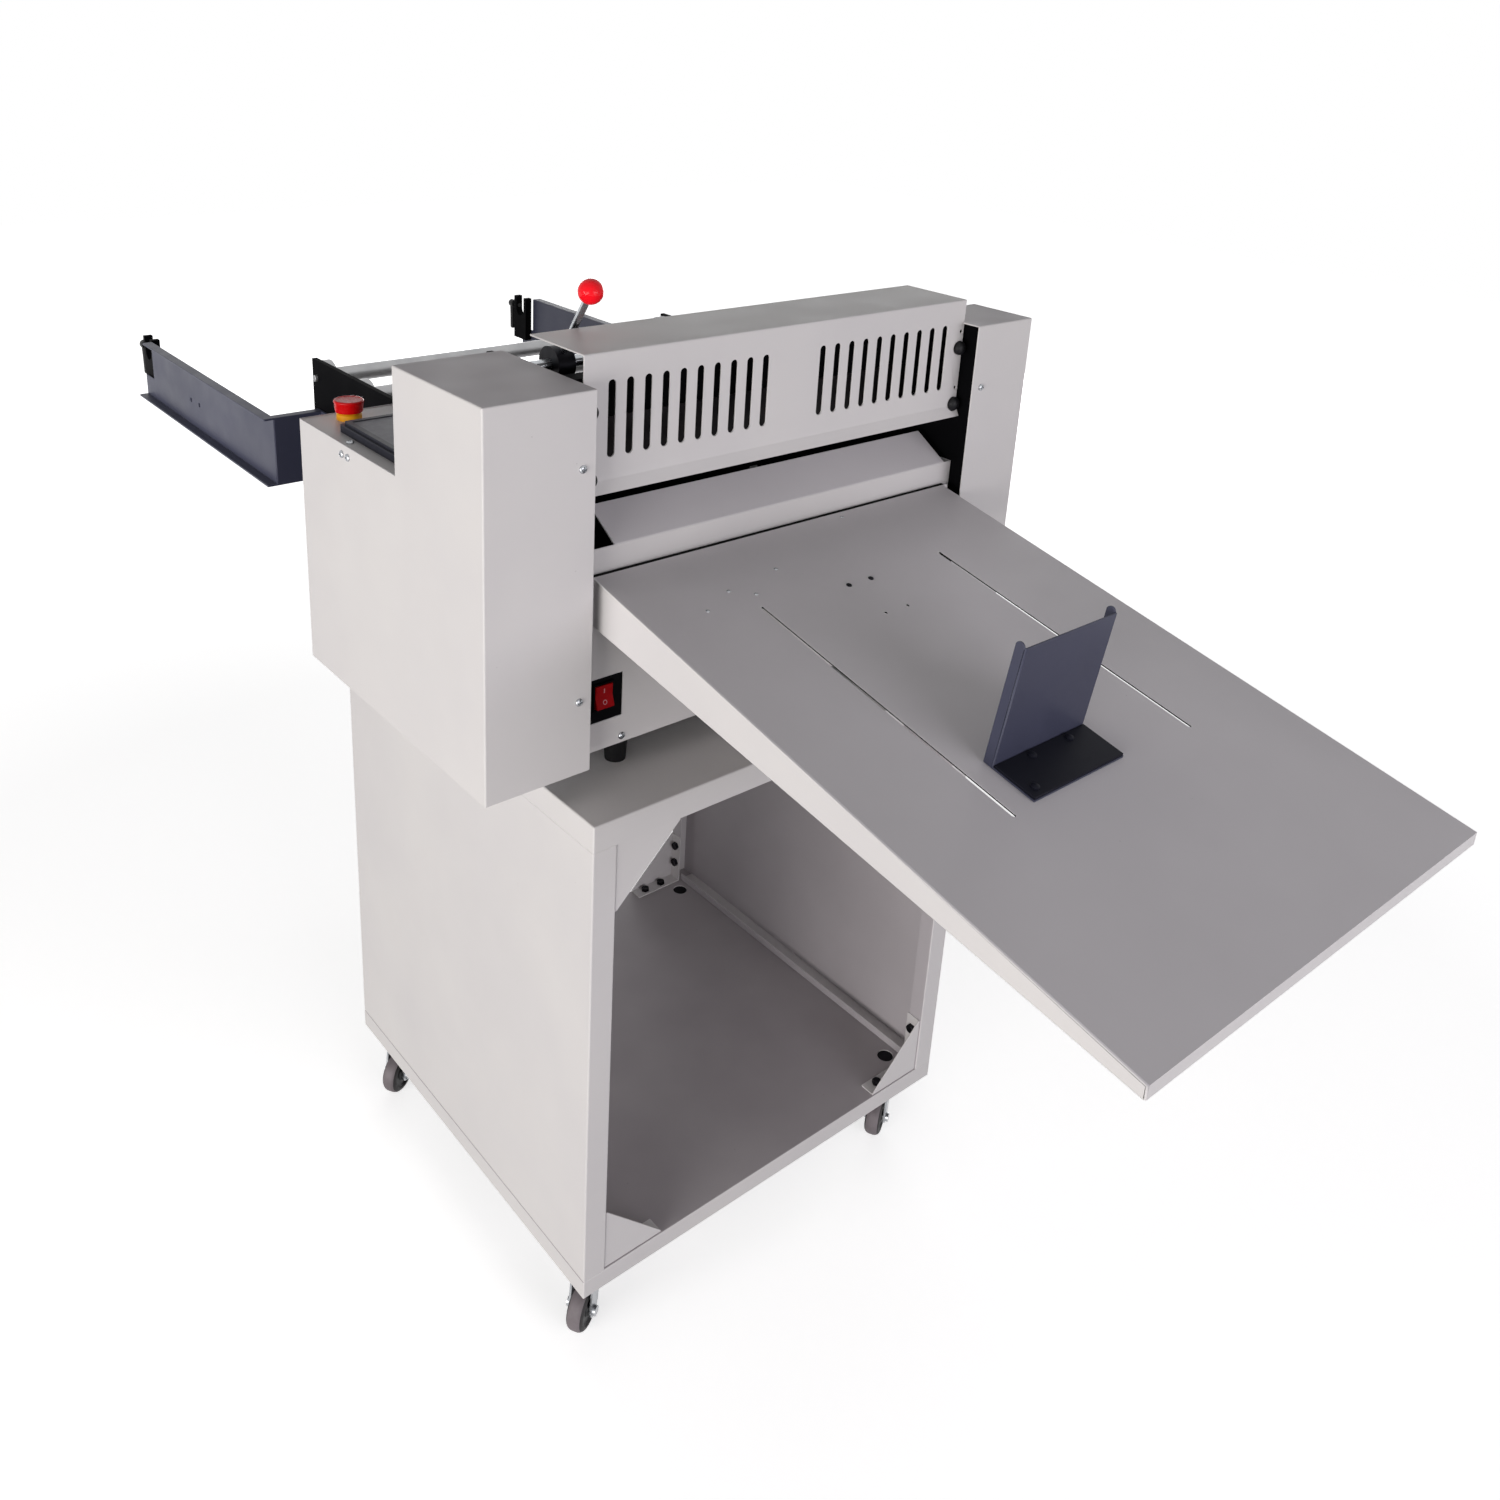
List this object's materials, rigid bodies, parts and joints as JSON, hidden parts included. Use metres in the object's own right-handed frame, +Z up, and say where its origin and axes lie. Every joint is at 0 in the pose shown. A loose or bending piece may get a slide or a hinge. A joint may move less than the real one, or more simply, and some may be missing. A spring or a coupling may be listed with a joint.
{
  "type": "roll to sheet cutter",
  "caption": "Free-standing cutter that feeds paper from a roll between arms, cuts it behind a slotted guard and drops sheets on a sloping tray with a backstop.",
  "frame": {"origin": "on the floor under the middle of the stand", "axes": "+Z up, +Y from the delivery side to the roll, +X to the right seen from the delivery side"},
  "size_m": [0.876, 1.984, 1.3908],
  "materials": {
    "pale_paint": "satin powder coat",
    "panel_paint": "satin powder coat",
    "slate_paint": "satin powder coat",
    "black_paint": "satin powder coat",
    "black_oxide": "blackened",
    "zinc_plate": "zinc plated",
    "ground_steel": "ground",
    "idler_aluminium": "drawn tube",
    "roller_rubber": "ground",
    "wheel_rubber": "moulded",
    "black_plastic": "moulded",
    "display_screen": "polished",
    "red_plastic": "moulded",
    "yellow_plastic": "moulded",
    "motor_paint": "matt",
    "circuit_board": "lacquered"
  },
  "bodies": {
    "frame": {"stand_side_left": "pale_paint", "stand_side_right": "pale_paint", "stand_top": "pale_paint", "stand_floor": "pale_paint", "corner_brackets": "pale_paint", "bracket_bolts": "black_oxide", "caster_plates": "zinc_plate", "rubber_feet": "roller_rubber", "base_plate": "zinc_plate", "front_panel": "pale_paint", "rear_panel": "pale_paint", "side_plate_left": "black_paint", "side_plate_right": "black_paint", "left_housing": "pale_paint", "right_housing": "pale_paint", "control_plate": "panel_paint", "display_bezel": "black_plastic", "display_glass": "display_screen", "stop_collar": "yellow_plastic", "guard": "pale_paint", "guard_knobs": "black_plastic", "knife_bed": "black_paint", "lower_blade": "ground_steel", "cutter_motor": "motor_paint", "tray": "pale_paint", "switch_plate": "black_paint", "arm_left": "slate_paint", "arm_right": "slate_paint", "clamp_blocks": "black_paint", "feed_motor": "motor_paint", "drive_belt": "roller_rubber", "panel_screws": "zinc_plate", "control_unit": "circuit_board"},
    "caster_front_left": {"caster_fork_front_left": "zinc_plate"},
    "wheel_front_left": {"caster_wheel_front_left": "wheel_rubber"},
    "caster_front_right": {"caster_fork_front_right": "zinc_plate"},
    "wheel_front_right": {"caster_wheel_front_right": "wheel_rubber"},
    "caster_rear_left": {"caster_fork_rear_left": "zinc_plate"},
    "wheel_rear_left": {"caster_wheel_rear_left": "wheel_rubber"},
    "caster_rear_right": {"caster_fork_rear_right": "zinc_plate"},
    "wheel_rear_right": {"caster_wheel_rear_right": "wheel_rubber"},
    "blade": {"blade_beam": "black_paint", "upper_blade": "ground_steel"},
    "crank": {"crank": "zinc_plate"},
    "drive_roller": {"drive_roller": "roller_rubber"},
    "pressure_straps": {"pressure_straps": "zinc_plate"},
    "pressure_roller": {"pressure_roller": "roller_rubber"},
    "pressure_lever": {"lever_shaft": "ground_steel", "lever_hub": "black_oxide", "lever_ball": "red_plastic"},
    "idler_rear": {"idler_rear": "idler_aluminium"},
    "idler_front": {"idler_front": "idler_aluminium"},
    "motor_pulley": {"motor_pulley": "zinc_plate"},
    "stop_button": {"stop_button": "red_plastic"},
    "rocker": {"rocker": "red_plastic"},
    "clamp_lever_left": {"clamp_lever_left": "black_plastic"},
    "clamp_lever_right": {"clamp_lever_right": "black_plastic"},
    "backstop": {"backstop": "slate_paint", "backstop_base": "black_paint"}
  },
  "joints": [
    {"name": "swivel_front_left", "type": "hinge", "parent": "frame", "child": "caster_front_left", "pos_m": [-0.283, -0.264, 0.094], "axis": [0, 0, 1], "continuous": true},
    {"name": "roll_front_left", "type": "hinge", "parent": "caster_front_left", "child": "wheel_front_left", "pos_m": [-0.30898, -0.279, 0.0315], "axis": [0.5, -0.866, 0], "continuous": true},
    {"name": "swivel_front_right", "type": "hinge", "parent": "frame", "child": "caster_front_right", "pos_m": [0.283, -0.264, 0.094], "axis": [0, 0, 1], "continuous": true},
    {"name": "roll_front_right", "type": "hinge", "parent": "caster_front_right", "child": "wheel_front_right", "pos_m": [0.25702, -0.279, 0.0315], "axis": [0.5, -0.866, 0], "continuous": true},
    {"name": "swivel_rear_left", "type": "hinge", "parent": "frame", "child": "caster_rear_left", "pos_m": [-0.283, 0.264, 0.094], "axis": [0, 0, 1], "continuous": true},
    {"name": "roll_rear_left", "type": "hinge", "parent": "caster_rear_left", "child": "wheel_rear_left", "pos_m": [-0.30898, 0.249, 0.0315], "axis": [0.5, -0.866, 0], "continuous": true},
    {"name": "swivel_rear_right", "type": "hinge", "parent": "frame", "child": "caster_rear_right", "pos_m": [0.283, 0.264, 0.094], "axis": [0, 0, 1], "continuous": true},
    {"name": "roll_rear_right", "type": "hinge", "parent": "caster_rear_right", "child": "wheel_rear_right", "pos_m": [0.25702, 0.249, 0.0315], "axis": [0.5, -0.866, 0], "continuous": true},
    {"name": "blade_slide", "type": "slide", "parent": "frame", "child": "blade", "axis": [0, 0, -1], "range_m": [0, 0.016]},
    {"name": "crank_turn", "type": "hinge", "parent": "frame", "child": "crank", "pos_m": [-0.333, -0.152, 1.228], "axis": [1, 0, 0], "range_deg": [0, 180]},
    {"name": "drive_spin", "type": "hinge", "parent": "frame", "child": "drive_roller", "pos_m": [0.018, -0.068, 1.13935], "axis": [1, 0, 0], "continuous": true},
    {"name": "lever_swing", "type": "hinge", "parent": "frame", "child": "pressure_lever", "pos_m": [-0.225, -0.068, 1.278], "axis": [-1, 0, 0], "range_deg": [0, 80]},
    {"name": "strap_lift", "type": "slide", "parent": "frame", "child": "pressure_straps", "axis": [0, 0, 1], "range_m": [0, 0.004]},
    {"name": "pressure_spin", "type": "hinge", "parent": "pressure_straps", "child": "pressure_roller", "pos_m": [0.018, -0.068, 1.19065], "axis": [1, 0, 0], "continuous": true},
    {"name": "idler_rear_spin", "type": "hinge", "parent": "frame", "child": "idler_rear", "pos_m": [0.018, 0.438, 1.15], "axis": [1, 0, 0], "continuous": true},
    {"name": "idler_front_spin", "type": "hinge", "parent": "frame", "child": "idler_front", "pos_m": [0.018, 0.317, 1.15], "axis": [1, 0, 0], "continuous": true},
    {"name": "motor_spin", "type": "hinge", "parent": "frame", "child": "motor_pulley", "pos_m": [0.352, -0.068, 0.99935], "axis": [1, 0, 0], "continuous": true},
    {"name": "stop_press", "type": "slide", "parent": "frame", "child": "stop_button", "axis": [0, 0, -1], "range_m": [0, 0.004], "stiffness_N_per_m": 2000},
    {"name": "rocker_tilt", "type": "hinge", "parent": "frame", "child": "rocker", "pos_m": [-0.256, -0.215, 0.911], "axis": [1, 0, 0], "range_deg": [0, 16]},
    {"name": "clamp_left_turn", "type": "hinge", "parent": "frame", "child": "clamp_lever_left", "pos_m": [-0.37, 0.999, 1.086], "axis": [0, 1, 0], "range_deg": [-100, 100]},
    {"name": "clamp_right_turn", "type": "hinge", "parent": "frame", "child": "clamp_lever_right", "pos_m": [0.374, 0.999, 1.086], "axis": [0, 1, 0], "range_deg": [-100, 100]},
    {"name": "backstop_slide", "type": "slide", "parent": "frame", "child": "backstop", "axis": [0, -0.9799, -0.1994], "range_m": [-0.3, 0.24]}
  ],
  "couplings": [
    {"joint": "crank_turn", "follows": "blade_slide", "rad_per_m": 196.3},
    {"joint": "strap_lift", "follows": "lever_swing", "m_per_rad": 0.002864},
    {"joint": "pressure_spin", "follows": "drive_spin", "ratio": -1},
    {"joint": "motor_spin", "follows": "drive_spin", "ratio": 1.6667}
  ]
}
